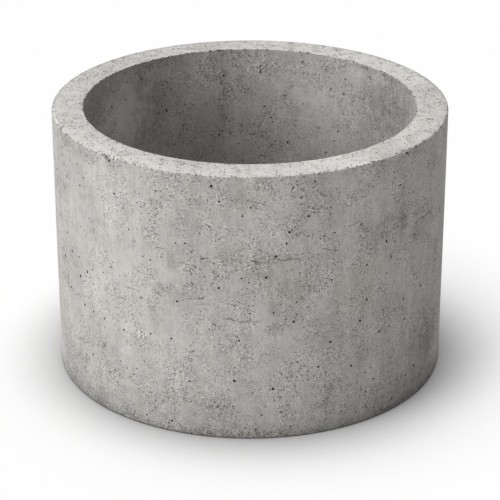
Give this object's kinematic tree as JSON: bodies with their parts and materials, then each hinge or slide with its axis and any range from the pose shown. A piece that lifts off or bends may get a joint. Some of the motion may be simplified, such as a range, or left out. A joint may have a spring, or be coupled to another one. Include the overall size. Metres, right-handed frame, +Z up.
{
  "type": "concrete culvert ring",
  "caption": "Plain-ended cylindrical concrete ring with a thick wall and an open bore, stood on end to line a culvert, well or shaft.",
  "frame": {"origin": "centre of the ring's base, on the surface that it stands on", "axes": "+Z up the bore; the ring is round about Z, so X and Y are free"},
  "size_m": [1.07, 1.0697, 0.74],
  "materials": {
    "concrete": "matte"
  },
  "bodies": {
    "root": {"concrete_ring": "concrete"}
  },
  "joints": []
}
